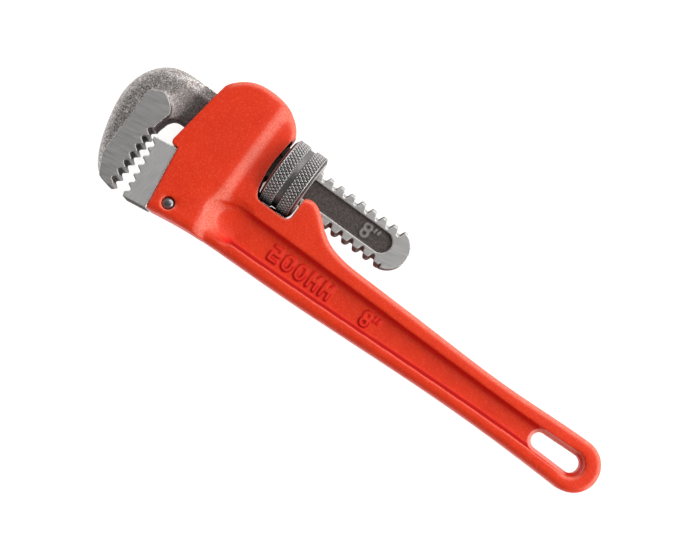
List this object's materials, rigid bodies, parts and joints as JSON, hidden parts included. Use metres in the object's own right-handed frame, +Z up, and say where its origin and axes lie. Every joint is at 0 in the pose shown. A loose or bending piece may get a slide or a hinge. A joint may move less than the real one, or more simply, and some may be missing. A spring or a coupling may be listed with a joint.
{
  "type": "pipe wrench",
  "caption": "Straight pipe wrench with a toothed hook jaw on a threaded shank, moved by a knurled nut in the slot of an I-section handle with a hanging hole.",
  "frame": {"origin": "middle of the wrench's bounding box at the level of the nut's lowest point, the wrench lying flat on its side", "axes": "+X from the jaws to the end of the handle, +Y from the handle's back to the shank's side, +Z up, across the wrench's thickness"},
  "size_m": [0.1996, 0.0562, 0.024],
  "materials": {
    "red_paint": "semi-gloss red paint over a casting",
    "ground_steel": "ground",
    "forged_steel": "forged, ground beside the teeth",
    "nut_steel": "turned and knurled",
    "pin_steel": "dark oxide",
    "spring_steel": "tempered"
  },
  "bodies": {
    "handle": {"handle": "red_paint", "heel_jaw": "ground_steel", "heel_jaw_pin": "pin_steel", "coil_spring": "spring_steel"},
    "spring_seat": {"leaf_spring": "spring_steel", "spring_rivet": "spring_steel"},
    "hook_jaw": {"hook_jaw": "forged_steel"},
    "nut": {"adjusting_nut": "nut_steel"}
  },
  "joints": [
    {"name": "jaw_rock", "type": "hinge", "parent": "handle", "child": "spring_seat", "pos_m": [-0.0381, 0.00953, 0.012], "axis": [0, 0, 1], "range_deg": [0, 3], "stiffness_Nm_per_rad": 2, "springref_deg": -2.86, "deforming": ["coil_spring"]},
    {"name": "jaw_slide", "type": "slide", "parent": "spring_seat", "child": "hook_jaw", "axis": [-1, 0, 0], "range_m": [-0.0005, 0.025]},
    {"name": "nut_spin", "type": "hinge", "parent": "spring_seat", "child": "nut", "pos_m": [-0.0381, 0.00953, 0.012], "axis": [1, 0, 0], "range_deg": [-45, 2100]}
  ],
  "couplings": [
    {"joint": "nut_spin", "follows": "jaw_slide", "rad_per_m": 1461.2}
  ]
}
